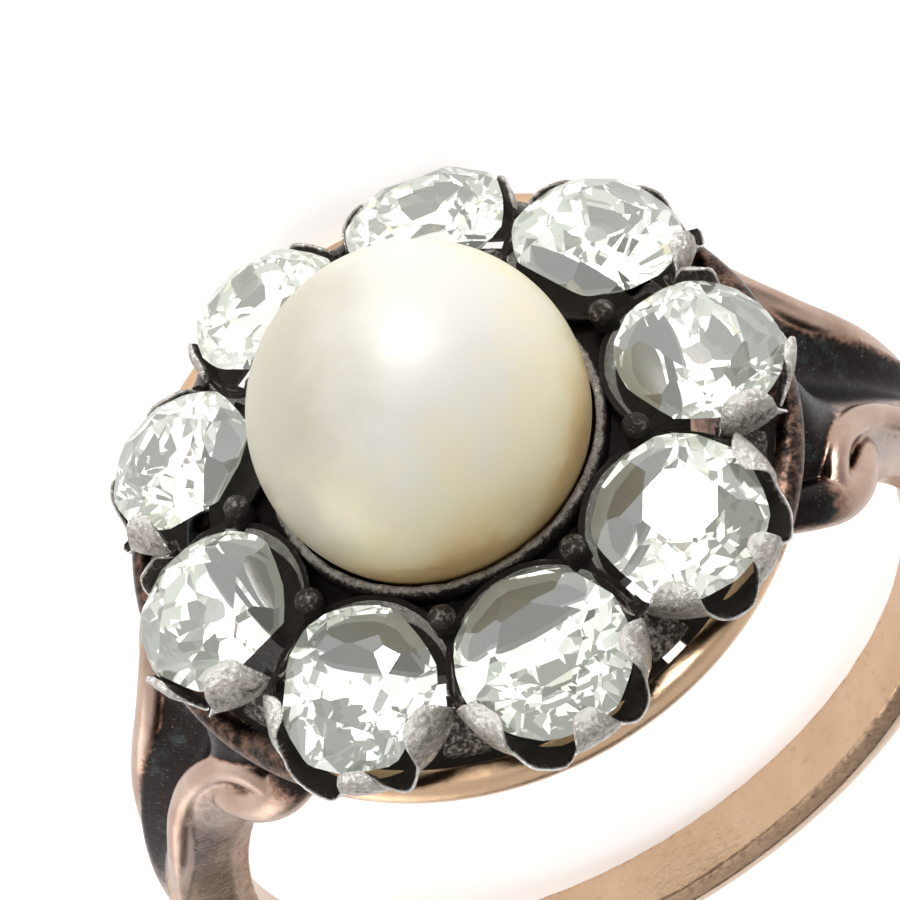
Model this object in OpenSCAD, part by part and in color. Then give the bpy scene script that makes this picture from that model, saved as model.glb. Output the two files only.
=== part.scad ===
// Pearl and diamond cluster ring with scroll shoulders, resting on its side.
// Every piece is modelled in the ring's own frame and then laid down as a whole: the head faces +Z there,
// its middle is where the stones' girdles lie, and +Y is the side of the head that ends up on top.

/* [Finger hole] */
// Diameter of the finger hole
finger_d = 17.5; // [15:0.1:21]
// Depth of the hole's centre below the diamonds' girdles
hoop_drop = 11.1; // [10.8:0.1:11.8]

/* [Band] */
// Width of the band at the back of the finger
band_w = 1.8; // [1.6:0.1:2.2]
// Thickness of the band
band_t = 1.4; // [1.2:0.1:1.6]
// Turn of the band about the head's axis, as the old ring has it
band_turn = 3.7; // [0:0.1:5]

/* [Cluster] */
// Number of diamonds round the pearl
stone_count = 9; // [9:1:9]
// Radius of the circle through the diamonds' centres
stone_circle_r = 5.8; // [5.7:0.05:6]
// Outward tilt of each diamond
stone_tilt = 14; // [8:1:18]
// Mean diameter of a diamond
stone_d = 3.7; // [3.5:0.05:3.8]
// Diameter of the pearl
pearl_d = 7.16; // [6.8:0.02:7.2]
// Height of the pearl's centre above the girdles
pearl_rise = 1.4; // [1.2:0.1:1.6]

/* [Pose] */
// Tip of the head above the surface once the ring lies on its side
rest_tip = 19.2; // [16:0.1:21]

/* [Hidden] */

gold = [0.83, 0.6, 0.45];
silver = [0.36, 0.34, 0.32];
cream = [0.93, 0.88, 0.76];
clear = [0.9, 0.93, 0.9];

finger_r = finger_d / 2;
pearl_r = pearl_d / 2;
stone_step = 360 / stone_count;
// Clearance between neighbouring pieces
fit_gap = 0.03;

// Gold rail under the diamonds
rail_out_r = 7.45;
rail_in_r = 6.85;
rail_top = -1.3;
rail_bottom = -1.95;

// Collets: a thin tapered cup under each diamond, in the diamond's own tilted frame
cup_rim_r = 2.12;
cup_rim_z = -0.34;
cup_foot_r = 1.8;
cup_foot_z = -0.86;
cup_wall = 0.2;

// Each shoulder, by angle round the hoop from the back of the finger.
// Columns: angle, half width, radius of the ridges, ridge's distance from the middle, depth of the scoop
SHOULDER = [
    [70, 0.90, 10.16, 0.10, 0.00],
    [84, 0.98, 10.35, 0.20, 0.00],
    [94, 1.10, 10.55, 0.40, 0.04],
    [103, 1.30, 10.75, 0.75, 0.30],
    [112, 1.60, 10.88, 1.05, 0.62],
    [120, 2.00, 10.92, 1.40, 0.90],
    [127, 2.55, 10.95, 1.80, 1.10],
    [132, 3.20, 10.95, 2.10, 1.12],
    [136, 3.65, 11.00, 2.20, 0.90],
    [139, 3.65, 11.25, 2.05, 0.50],
    [142, 3.45, 11.70, 1.80, 0.00],
    [148, 3.20, 11.60, 1.80, 0.00],
];
shoulder_from = 70;
shoulder_to = 148;
shoulder_step = 3;
// Steps from the foot of a shoulder's side to its middle
side_steps = 9;
// How far each flank is carved outward: the upper flank towards +X and towards -X, and both lower flanks
UPPER_CARVE = [-0.75, 0.2];
LOWER_CARVE = -0.4;

// Scroll on each flank, in two rolls. Columns: angle, distance from the middle, radius, half thickness.
// The arch leaves the edge of the scoop and turns outward over the tongue
ARCH = [
    [104, 0.55, 10.55, 0.14],
    [111, 0.75, 10.60, 0.22],
    [118, 1.00, 10.62, 0.27],
    [124, 1.25, 10.62, 0.30],
    [129, 1.55, 10.62, 0.30],
    [132.5, 1.90, 10.60, 0.30],
    [135.3, 2.35, 10.50, 0.30],
    [137, 2.85, 10.30, 0.32],
    [137.5, 3.30, 10.00, 0.34],
    [137.0, 3.60, 9.75, 0.20],
];
// The tongue comes back from the shoulder's corner and ends in a blunt tip under the arch
TONGUE = [
    [140.5, 3.75, 9.75, 0.12],
    [139.6, 3.74, 9.75, 0.36],
    [137.5, 3.68, 9.72, 0.50],
    [134.5, 3.45, 9.68, 0.54],
    [131, 3.00, 9.68, 0.54],
    [128, 2.50, 9.70, 0.50],
    [125.8, 2.10, 9.72, 0.42],
    [124.6, 1.90, 9.72, 0.28],
    [124.1, 1.82, 9.72, 0.10],
];

function column(c) = [for (row = SHOULDER) [row[0], row[c]]];
// Share of the extra carving at an angle, none on the band and all at the head
function carve_share(a) = lookup(a, [[95, 0], [122, 1]]);
function half_width(a, carve) = lookup(a, column(1)) + carve * carve_share(a);
function ridge_r(a) = lookup(a, column(2));
// The ridge moves out by a part of what the edge does
ridge_follow = 0.6;
function ridge_y(a, carve) = lookup(a, column(3)) + carve * carve_share(a) * ridge_follow;
function scoop(a) = lookup(a, column(4));

// A point of the hoop by angle from the back of the finger, distance along the finger and radius
function on_hoop(a, y, r) = [r * sin(a), y, -hoop_drop - r * cos(a)];

// Height of the bevel at a shoulder's edge
side_foot = 0.35;
// Least metal left under the scoop
scoop_floor = 0.5;
// Depth of metal inside the finger hole's line, which the hole then cuts away
bore_spare = 0.4;
// Flat width at the finger as a share of the whole width
flat_share = 0.84;

// Height of the shoulder's surface, as a radius, at distance y from its middle
function surface_r(a, y, carve) =
    let (s = min(y / half_width(a, carve), 1), base = finger_r + side_foot)
    let (dome = base + (ridge_r(a) - base) * pow(1 - pow(s, 3), 0.5))
    let (q = min(y / ridge_y(a, carve), 1))
    max(dome - scoop(a) * pow(1 - q * q, 2), finger_r + scoop_floor);

// Half of one cross section, from the finger's side round its edge to the middle. The bevel's line runs on
// down past the finger hole's edge, so that no corner lies on the hole itself
function half_section(a, carve) =
    let (w = half_width(a, carve), inner = w * (flat_share - (1 - flat_share) * bore_spare / side_foot))
    concat(
        [[inner, finger_r - bore_spare]],
        [for (i = [0:side_steps]) let (y = w * cos(90 * i / side_steps)) [y, surface_r(a, y, carve)]]
    );
function section(a, carve) =
    let (near = half_section(a, carve), far = half_section(a, LOWER_CARVE))
    concat(near, [for (i = [len(far) - 2:-1:0]) [-far[i][0], far[i][1]]]);

// Closed mesh through a list of equal rings of points
module loft(rings) {
    n = len(rings[0]);
    last = len(rings) - 1;
    sides = [
        for (j = [0:last - 1]) for (i = [0:n - 1]) let (k = (i + 1) % n)
            each [[j * n + i, j * n + k, (j + 1) * n + i], [j * n + k, (j + 1) * n + k, (j + 1) * n + i]]
    ];
    // Each end is closed by rungs from one half of its ring to the other
    rungs = [for (i = [0:ceil(n / 2) - 2]) i + 1 < n - 2 - i ? [i, i + 1, n - 2 - i, n - 1 - i] : [i, i + 1, i + 2]];
    first_cap = [for (f = rungs) [for (i = [len(f) - 1:-1:0]) f[i]]];
    last_cap = [for (f = rungs) [for (i = f) last * n + i]];
    polyhedron(points = [for (r = rings) each r], faces = concat(first_cap, last_cap, sides));
}

function unit(v) = v / norm(v);

// Round section of a tube at point p, square to its run
function tube_ring(p, run, up, r, sides) =
    let (side = unit(cross(run, up)), top = unit(cross(side, run)))
    [for (i = [0:sides - 1]) p + side * r * cos(360 * i / sides) + top * r * sin(360 * i / sides)];

// Smooth curve through rows of numbers, with extra rows between each pair
function between(rows, i, f) =
    let (n = len(rows) - 1, p0 = rows[max(i - 1, 0)], p1 = rows[i], p2 = rows[i + 1], p3 = rows[min(i + 2, n)])
    0.5 * (2 * p1 + (p2 - p0) * f + (2 * p0 - 5 * p1 + 4 * p2 - p3) * f * f
        + (3 * p1 - p0 - 3 * p2 + p3) * f * f * f);
function smooth(rows, parts) = concat(
    [for (i = [0:len(rows) - 2]) for (j = [0:parts - 1]) between(rows, i, j / parts)],
    [rows[len(rows) - 1]]
);

// Tube through points that carry their own radius: [point, radius]
module tube(stations, up, sides = 8) {
    last = len(stations) - 1;
    loft([
        for (i = [0:last])
            let (a = stations[max(i - 1, 0)][0], b = stations[min(i + 1, last)][0])
            tube_ring(stations[i][0], unit(b - a), up, stations[i][1], sides)
    ]);
}

// Section of the plain band: flat at the finger, bevelled at its edges, rounded outside
module band_profile() {
    straight_side = 0.5;
    bevel = 0.2;
    half = band_w / 2;
    rise = band_t - straight_side;
    arc_r = (half * half + rise * rise) / (2 * rise);
    translate([finger_r, 0]) intersection() {
        translate([band_t - arc_r, 0]) circle(r = arc_r, $fn = 96);
        polygon([
            [-bore_spare, -half + bevel], [0, -half + bevel], [bevel, -half], [band_t, -half],
            [band_t, half], [bevel, half], [0, half - bevel], [-bore_spare, half - bevel],
        ]);
    }
}

// Plain part of the band, round the back of the finger
module band_back() {
    lap = 6;
    reach = shoulder_from + lap;
    translate([0, 0, -hoop_drop]) rotate([90, 0, 0]) rotate([0, 0, -90 - reach])
        rotate_extrude(angle = 2 * reach, $fn = 144) band_profile();
}

module shoulder_body(carve) {
    steps = (shoulder_to - shoulder_from) / shoulder_step;
    loft([
        for (j = [0:steps]) let (a = shoulder_from + j * shoulder_step)
            [for (q = section(a, carve)) on_hoop(a, q[0], q[1])]
    ]);
}

// One roll of a scroll
module roll(rows, carve) {
    up = on_hoop(130, 0, 1) - on_hoop(130, 0, 0);
    tube([for (c = smooth(rows, 2)) [on_hoop(c[0], c[1] + carve * carve_share(c[0]), c[2]), c[3]]], up);
}

module shoulder(carve) {
    shoulder_body(carve);
    roll(ARCH, carve);
    roll(TONGUE, carve);
    mirror([0, 1, 0]) {
        roll(ARCH, LOWER_CARVE);
        roll(TONGUE, LOWER_CARVE);
    }
}

// Rail, flat inside and round outside
module rail() {
    half = (rail_top - rail_bottom) / 2;
    rotate_extrude($fn = 144) {
        translate([rail_in_r, rail_bottom]) square([rail_out_r - half - rail_in_r, 2 * half]);
        translate([rail_out_r - half, rail_bottom + half]) circle(r = half, $fn = 48);
    }
}

// Longer than anything it cuts
clear_of_all = 20;

// Band, shoulders and rail in one. The shoulders stop under the rail's top and outside its inner wall
module shank() {
    color(gold) {
        difference() {
            rotate([0, 0, band_turn]) difference() {
                union() {
                    band_back();
                    for (side = [0, 1]) mirror([side, 0, 0]) shoulder(UPPER_CARVE[side]);
                }
                translate([0, 0, -hoop_drop]) rotate([90, 0, 0])
                    cylinder(r = finger_r, h = clear_of_all, center = true, $fn = 180);
            }
            translate([0, 0, rail_bottom - 0.1]) cylinder(r = rail_in_r, h = clear_of_all, $fn = 144);
            translate([0, 0, rail_top]) cylinder(r = clear_of_all, h = clear_of_all, $fn = 144);
        }
        rail();
    }
}

// The nine diamonds. Columns: length across the ring and length outward, both as shares of the mean
// diameter, turn of its outline, table's share of its width, height of the crown, depth of the pavilion
STONES = [
    [1.03, 0.96, 12, 0.50, 0.62, 1.55],
    [1.05, 0.95, -8, 0.46, 0.66, 1.50],
    [1.01, 0.97, 20, 0.52, 0.58, 1.52],
    [1.03, 1.00, 5, 0.44, 0.64, 1.55],
    [1.02, 1.01, -15, 0.48, 0.66, 1.58],
    [0.96, 1.00, 10, 0.47, 0.62, 1.50],
    [0.95, 1.00, -20, 0.52, 0.60, 1.48],
    [0.93, 0.98, 0, 0.45, 0.64, 1.50],
    [0.95, 0.95, 15, 0.50, 0.60, 1.50],
];
girdle_h = 0.06;
// The room that a diamond takes, with its clearance, as a share of its size
stone_room = 1.02;
// Place around the cluster of stone 5, which is nearest the finger's tip side
first_angle = 90;

// Direction of diamond k, counted from 1, about the head's axis
function stone_angle(k) = first_angle - (k - 5) * stone_step;

module at_stone(k) {
    rotate([0, 0, stone_angle(k)]) translate([stone_circle_r, 0, 0]) rotate([0, stone_tilt, 0]) children();
}

// Points of an oval of half lengths a and b with slightly squared corners
squareness = 0.03;
function cushion(a, b, n, z, turn = 0) = [
    for (i = [0:n - 1]) let (t = 360 * i / n + turn, full = 1 + squareness * pow(sin(2 * t), 2))
        [a * full * cos(t), b * full * sin(t), z]
];

// Old mine cut: table, eight star and eight main facets, sixteen break facets, and the same below to a culet
module old_mine_cut(row) {
    a = stone_d * row[1] / 2;
    b = stone_d * row[0] / 2;
    table = row[3];
    crown = girdle_h / 2 + row[4];
    star = table + 0.27;
    star_z = crown * 0.66;
    pavilion = 0.62;
    pavilion_z = -row[5] * 0.5;
    culet = 0.07;
    half_step = 22.5;
    points = concat(
        cushion(a * table, b * table, 8, crown),
        cushion(a * star, b * star, 8, star_z, half_step),
        cushion(a, b, 16, girdle_h / 2),
        cushion(a, b, 16, -girdle_h / 2),
        cushion(a * pavilion, b * pavilion, 8, pavilion_z, half_step),
        cushion(a * culet, b * culet, 8, -row[5])
    );
    rotate([0, 0, row[2]]) hull() polyhedron(points = points, faces = [[for (i = [0:len(points) - 1]) i]]);
}

module diamond(k) {
    color(clear) at_stone(k) old_mine_cut(STONES[k - 1]);
}

// Cup and collar for the pearl, with a flat seat
seat_z = -0.95;
seat_t = 0.25;
collar_in_r = 3.46;
collar_out_r = 3.68;
collar_top = 0.3;

module pearl() {
    color(cream) difference() {
        translate([0, 0, pearl_rise]) sphere(r = pearl_r, $fn = 96);
        translate([0, 0, seat_z + fit_gap - clear_of_all / 2]) cube(clear_of_all, center = true);
    }
}

module pearl_cup() {
    rotate([0, 0, 1.1]) rotate_extrude($fn = 38) polygon([
        [0, seat_z - seat_t], [3.2, seat_z - seat_t], [collar_out_r, seat_z + 0.3],
        [collar_out_r, collar_top - 0.05], [collar_in_r + 0.12, collar_top], [collar_in_r, collar_top - 0.1],
        [collar_in_r, seat_z + 0.55], [2.9, seat_z], [0, seat_z],
    ]);
}

// One open collet: the thin cup wall, in the diamond's frame
module collet() {
    rotate([0, 0, 6.1]) rotate_extrude($fn = 18) polygon([
        [cup_foot_r - cup_wall, cup_foot_z], [cup_foot_r, cup_foot_z], [cup_rim_r, cup_rim_z - 0.1],
        [cup_rim_r, cup_rim_z], [cup_rim_r - cup_wall, cup_rim_z],
    ]);
}

// Claw at one angle of a diamond: rises outside the girdle, then folds in over it and narrows to its tip
claw_r = 0.17;
claw_tip_r = 0.14;
claw_tip_z = 0.4;
// Reach of the tip over the stone's edge
claw_reach = 0.2;
module claw(turn, row, wide) {
    t = turn - row[2];
    r = stone_room * stone_d * norm([row[1] * cos(t), row[0] * sin(t)]) / 2;
    side = wide * 0.32;
    tip_side = wide * 0.2;
    rotate([0, 0, turn]) {
        hull() {
            translate([cup_rim_r - 0.1, 0, cup_rim_z - 0.25]) cube([0.24, wide * 1.1, 0.1], center = true);
            for (s = [-1, 1]) translate([r + claw_r - 0.01, s * side, 0.05]) sphere(r = claw_r, $fn = 6);
        }
        hull() {
            for (s = [-1, 1]) translate([r + claw_r - 0.03, s * side, 0.1]) sphere(r = claw_r, $fn = 6);
            for (s = [-1, 1]) translate([r - claw_reach, s * tip_side, claw_tip_z]) sphere(r = claw_tip_r, $fn = 6);
        }
    }
}

// Where the claws of each diamond stand, as angles from its outward side
CLAWS = [-68, 0, 68];
CLAW_WIDE = [0.5, 0.85, 0.5];

// Bead claw shared by two neighbours on the pearl's side, on its post
bead_r = 0.3;
post_r = 0.21;
bead_circle_r = 4.4;
bead_z = 0.42;
module bead_claw() {
    post_foot = -0.62;
    neck = 0.16;
    translate([bead_circle_r, 0, 0]) rotate([0, 0, 17]) rotate_extrude($fn = 10) polygon([
        [0, post_foot], [post_r, post_foot], [post_r, bead_z - neck], [bead_r, bead_z],
        [bead_r * 0.72, bead_z + 0.7 * bead_r], [0, bead_z + bead_r],
    ]);
    // Solder that fills the pocket behind the post
    translate([bead_circle_r, -0.17, post_foot + 0.01]) cube([0.77, 0.34, 0.47]);
}

// Hollowed web between two collets, on the outer side
module outer_web() {
    hull() {
        translate([6.25, 0, -0.6]) cube([0.3, 0.45, 0.4], center = true);
        translate([7.0, 0, -0.98]) cube([0.2, 0.9, 0.3], center = true);
    }
}

// Plate that closes the spaces between the pearl's collar and the collets
plate_in_r = 3.6;
plate_out_r = 5.25;
plate_top = -0.2;
plate_t = 0.35;
module plate() {
    rotate([0, 0, 2.3]) rotate_extrude($fn = 40) polygon([
        [plate_in_r, plate_top], [plate_out_r, plate_top - 0.2],
        [plate_out_r, plate_top - 0.2 - plate_t], [plate_in_r, plate_top - plate_t],
    ]);
}

// Silver work in one. The diamonds, the wells under them, the pearl and the rail keep their room
module setting() {
    rail_room = 0.05;
    stone_well_z = -1.6;
    color(silver) difference() {
        union() {
            pearl_cup();
            plate();
            for (k = [1:stone_count]) {
                at_stone(k) {
                    collet();
                    for (c = [0:len(CLAWS) - 1]) claw(CLAWS[c], STONES[k - 1], CLAW_WIDE[c]);
                }
                rotate([0, 0, stone_angle(k) + stone_step / 2]) {
                    bead_claw();
                    outer_web();
                }
            }
        }
        for (k = [1:stone_count]) at_stone(k) {
            scale(stone_room) old_mine_cut(STONES[k - 1]);
            translate([0, 0, stone_well_z]) cylinder(r1 = 0.6, r2 = 1.5, h = 1.1, $fn = 16);
        }
        translate([0, 0, pearl_rise]) sphere(r = pearl_r + fit_gap, $fn = 48);
        rotate([0, 0, 1.7]) rotate_extrude($fn = 56) translate([rail_in_r - rail_room, rail_bottom - 1])
            square([2, rail_top - rail_bottom + 1 + fit_gap]);
    }
}

// The ring leans on its rail and on the back of its band; the shifts put the middle of its outline
// over the origin and its lowest points on the surface
module laid_down() {
    translate([0, rest_shift_y, rest_shift_z]) rotate([90 - rest_tip, 0, 0]) children();
}
rest_shift_y = -7.61;
rest_shift_z = 7.64;

laid_down() shank();
laid_down() setting();
laid_down() pearl();
for (k = [1:stone_count]) laid_down() diamond(k);
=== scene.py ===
import math
import random

import bmesh
import bpy
import numpy as np
from mathutils import Matrix, Vector, kdtree, noise


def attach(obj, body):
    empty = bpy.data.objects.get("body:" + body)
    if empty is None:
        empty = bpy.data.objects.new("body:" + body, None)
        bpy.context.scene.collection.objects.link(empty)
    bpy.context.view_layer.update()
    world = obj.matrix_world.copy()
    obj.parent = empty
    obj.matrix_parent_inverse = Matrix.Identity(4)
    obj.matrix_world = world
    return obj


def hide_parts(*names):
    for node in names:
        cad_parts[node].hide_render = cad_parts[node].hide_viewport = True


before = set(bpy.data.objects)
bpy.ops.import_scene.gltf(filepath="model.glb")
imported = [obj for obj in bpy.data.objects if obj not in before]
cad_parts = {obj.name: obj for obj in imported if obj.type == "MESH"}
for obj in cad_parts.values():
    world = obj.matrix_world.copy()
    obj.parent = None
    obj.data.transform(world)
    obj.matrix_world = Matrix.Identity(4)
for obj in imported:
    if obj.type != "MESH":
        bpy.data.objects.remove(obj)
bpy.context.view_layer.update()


# Shank: the rose gold band and the two shoulders it widens into.
# It is one worn gold casting, carved by hand: each shoulder has a deep hollow between two ridges, black
# with old tarnish, and the band is flat inside, bevelled at its edges and rounded outside.

# Everything is drawn upright in the ring's own frame, in millimetres with the head facing +Z, and then
# tipped over onto the rail and the back of the band
MM = 1000
LAID_TIP = 70.8
LAID_AT = (0, -0.00761, 0.00764)
TIPPED = Matrix.Rotation(math.radians(LAID_TIP), 4, "X")
LAID = Matrix.Translation(LAID_AT) @ TIPPED @ Matrix.Scale(1 / MM, 4)
# The band sits a little twisted under the head, and the middle of its hole is this far below the stones
BAND_TWIST = 3.7
BAND_TURN = Matrix.Rotation(math.radians(BAND_TWIST), 4, "Z")
FINGER_R = 8.75
HOOP_DROP = 11.1
SHANK_END = 148

# Columns: angle from the back of the finger, half width, radius of the two ridges, their distance from the
# middle, depth of the hollow between them
SHOULDER = np.array([
    [0, 0.90, 10.14, 0.10, 0.00],
    [70, 0.90, 10.16, 0.10, 0.00],
    [84, 0.98, 10.35, 0.20, 0.00],
    [94, 1.10, 10.55, 0.40, 0.04],
    [103, 1.30, 10.75, 0.75, 0.30],
    [112, 1.60, 10.88, 1.05, 0.62],
    [120, 2.00, 10.92, 1.40, 0.90],
    [127, 2.55, 10.95, 1.80, 1.10],
    [132, 3.20, 10.95, 2.10, 1.12],
    [136, 3.65, 11.00, 2.20, 0.90],
    [139, 3.65, 11.25, 2.05, 0.50],
    [142, 3.45, 11.70, 1.80, 0.00],
    [148, 3.20, 11.60, 1.80, 0.00],
])
# How much wider each flank of a shoulder is carved than the table: the upper flanks, toward +X and toward
# -X, and both lower flanks
UPPER_CARVE = {1: -0.75, -1: 0.2}
LOWER_CARVE = -0.4


def table_row(angle):
    """Widths and radii of the shoulder at an angle, eased between the rows of the table."""
    eased_over = 2.2
    rows = [[np.interp(abs(angle) + s, SHOULDER[:, 0], SHOULDER[:, c]) for c in range(1, 5)]
            for s in np.linspace(-eased_over, eased_over, 9)]
    return np.mean(rows, axis=0)


def carve_share(angle):
    """0 on the plain band and 1 on the shoulders."""
    return float(np.interp(abs(angle), [95, 122], [0, 1]))


def on_hoop(angle, y, r):
    """Point at an angle from the back of the finger, y across the band and r out from its middle."""
    t = math.radians(angle)
    return (r * math.sin(t), y, -HOOP_DROP - r * math.cos(t))


def skin(rings, marks=None, caps=True):
    """Closed skin through equal rings of points, with a named mark at each point."""
    rings = np.asarray(rings, float)
    n_rings, n = rings.shape[:2]
    faces = []
    for j in range(n_rings - 1):
        for i in range(n):
            k = (i + 1) % n
            faces.append((j * n + i, j * n + k, (j + 1) * n + k, (j + 1) * n + i))
    if caps:
        faces.append(tuple(range(n - 1, -1, -1)))
        faces.append(tuple((n_rings - 1) * n + i for i in range(n)))
    marks = {name: np.asarray(values, float).reshape(-1) for name, values in (marks or {}).items()}
    return {"points": rings.reshape(-1, 3), "faces": faces, "marks": marks}


def moved(one, place):
    """The same skin in another place."""
    m = np.array(place)
    faces = one["faces"] if place.determinant() > 0 else [f[::-1] for f in one["faces"]]
    return {"points": one["points"] @ m[:3, :3].T + m[:3, 3], "faces": faces, "marks": one["marks"]}


def joined(skins):
    """Several skins as one, each mark kept or zero."""
    names = sorted({m for s in skins for m in s["marks"]})
    starts = np.cumsum([0] + [len(s["points"]) for s in skins])
    return {
        "points": np.vstack([s["points"] for s in skins]),
        "faces": [tuple(i + start for i in f) for s, start in zip(skins, starts) for f in s["faces"]],
        "marks": {m: np.concatenate([s["marks"].get(m, np.zeros(len(s["points"]))) for s in skins])
                  for m in names},
    }


def melted(skins, cell, rounds, keep, soften=4):
    """Skins run together into one surface with soft inner corners, as solder and file leave them.

    Cell is the finest detail kept, rounds is how often the surface is smoothed, and keep is the share of
    its faces left. Each new point takes its marks from the nearest old one, softened a few times.
    """
    raw = joined(skins)
    mesh = bpy.data.meshes.new("raw_casting")
    mesh.from_pydata(raw["points"].tolist(), [], raw["faces"])
    casting = bpy.data.objects.new("raw_casting", mesh)
    bpy.context.scene.collection.objects.link(casting)
    melt = casting.modifiers.new("melt", "REMESH")
    melt.mode, melt.voxel_size = "VOXEL", cell
    filed = casting.modifiers.new("file", "SMOOTH")
    filed.factor, filed.iterations = 0.5, rounds
    casting.modifiers.new("thin", "DECIMATE").ratio = keep
    done = bpy.data.meshes.new_from_object(casting.evaluated_get(bpy.context.evaluated_depsgraph_get()))
    points = np.zeros(len(done.vertices) * 3)
    done.vertices.foreach_get("co", points)
    points = points.reshape(-1, 3)
    faces = [tuple(f.vertices) for f in done.polygons]
    bpy.data.objects.remove(casting)
    bpy.data.meshes.remove(mesh)
    bpy.data.meshes.remove(done)
    near = kdtree.KDTree(len(raw["points"]))
    for i, p in enumerate(raw["points"]):
        near.insert(p, i)
    near.balance()
    source = [near.find(p)[1] for p in points]
    marks = {m: v[source] for m, v in raw["marks"].items()}
    ends = np.array([(a, b) for f in faces for a, b in zip(f, f[1:] + f[:1])])
    shares = np.bincount(ends[:, 0], minlength=len(points)) + 1
    for m in marks:
        for _ in range(soften):
            marks[m] = (marks[m] + np.bincount(ends[:, 0], marks[m][ends[:, 1]], len(points))) / shares
    return {"points": points, "faces": faces, "marks": marks}


# Points closer than this become one
WELD = 1e-5
# A hammered surface has lumps of three sizes: strength, and how many to the millimetre
HAMMER_LUMPS = ((1.0, 2.6), (0.55, 6.5), (0.3, 14))


def piece(name, skins, material, crease, hammer=0.0):
    """One Blender object from several skins, laid down with the ring and riding on it."""
    whole = joined(skins)
    mesh = bpy.data.meshes.new(name)
    mesh.from_pydata(whole["points"].tolist(), [], whole["faces"])
    for m, values in whole["marks"].items():
        mesh.attributes.new(m, "FLOAT", "POINT").data.foreach_set("value", values)
    fair = bmesh.new()
    fair.from_mesh(mesh)
    bmesh.ops.remove_doubles(fair, verts=fair.verts, dist=WELD)
    bmesh.ops.delete(fair, geom=[e for e in fair.edges if e.is_wire], context="EDGES")
    bmesh.ops.recalc_face_normals(fair, faces=fair.faces)
    fair.normal_update()
    for v in fair.verts if hammer else ():
        lump = sum(strength * noise.noise(v.co * per_mm) for strength, per_mm in HAMMER_LUMPS)
        v.co += v.normal * lump * hammer
    fair.to_mesh(mesh)
    fair.free()
    mesh.transform(LAID)
    mesh.shade_smooth()
    mesh.set_sharp_from_angle(angle=math.radians(crease))
    mesh.materials.append(material)
    obj = bpy.data.objects.new(name, mesh)
    bpy.context.scene.collection.objects.link(obj)
    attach(obj, "root")
    return obj


class Paint:
    """A node material under construction: short calls for the nodes used on this ring."""

    def __init__(self, name, metallic, roughness):
        self.material = bpy.data.materials.new(name)
        self.material.use_nodes = True
        self.tree = self.material.node_tree
        self.shader = self.tree.nodes["Principled BSDF"]
        self.shader.inputs["Metallic"].default_value = metallic
        self.shader.inputs["Roughness"].default_value = roughness
        self.place = self.node("ShaderNodeTexCoord").outputs["Object"]

    def node(self, kind, **settings):
        made = self.tree.nodes.new(kind)
        for name, value in settings.items():
            setattr(made, name, value)
        return made

    def feed(self, socket, value):
        if isinstance(value, bpy.types.NodeSocket):
            self.tree.links.new(value, socket)
        else:
            socket.default_value = value

    def mark(self, name):
        return self.node("ShaderNodeAttribute", attribute_name=name).outputs["Fac"]

    def noise(self, per_mm, detail=4, rough=0.55, stretch=(1, 1, 1)):
        scaled = self.node("ShaderNodeMapping")
        self.feed(scaled.inputs["Vector"], self.place)
        scaled.inputs["Scale"].default_value = [s * MM for s in stretch]
        made = self.node("ShaderNodeTexNoise")
        self.feed(made.inputs["Vector"], scaled.outputs[0])
        made.inputs["Scale"].default_value = per_mm
        made.inputs["Detail"].default_value = detail
        made.inputs["Roughness"].default_value = rough
        return made.outputs["Fac"]

    def math(self, operation, a, b=0.0, clamp=False):
        made = self.node("ShaderNodeMath", operation=operation, use_clamp=clamp)
        self.feed(made.inputs[0], a)
        self.feed(made.inputs[1], b)
        return made.outputs[0]

    def ease(self, value, low, high, to_low=0.0, to_high=1.0):
        made = self.node("ShaderNodeMapRange", interpolation_type="SMOOTHSTEP")
        for i, v in enumerate((value, low, high, to_low, to_high)):
            self.feed(made.inputs[i], v)
        return made.outputs[0]

    def blend(self, share, a, b):
        made = self.node("ShaderNodeMix", data_type="RGBA")
        self.feed(made.inputs[0], share)
        self.feed(made.inputs[6], a if isinstance(a, bpy.types.NodeSocket) else (*a, 1))
        self.feed(made.inputs[7], b if isinstance(b, bpy.types.NodeSocket) else (*b, 1))
        return made.outputs[2]

    # Painted shade: how shut in a place is, which darkens creases together with their tarnish
    def crease_shade_and_tarnish(self, reach_mm):
        made = self.node("ShaderNodeAmbientOcclusion", samples=8, only_local=True)
        made.inputs["Distance"].default_value = reach_mm / MM
        return self.math("SUBTRACT", 1.0, made.outputs["AO"], clamp=True)

    def relief(self, height, depth_mm):
        made = self.node("ShaderNodeBump")
        made.inputs["Strength"].default_value = 1.0
        made.inputs["Distance"].default_value = depth_mm / MM
        self.feed(made.inputs["Height"], height)
        self.feed(self.shader.inputs["Normal"], made.outputs[0])

    def color(self, value):
        self.feed(self.shader.inputs["Base Color"], value)

    def roughness(self, value):
        self.feed(self.shader.inputs["Roughness"], value)


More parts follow.
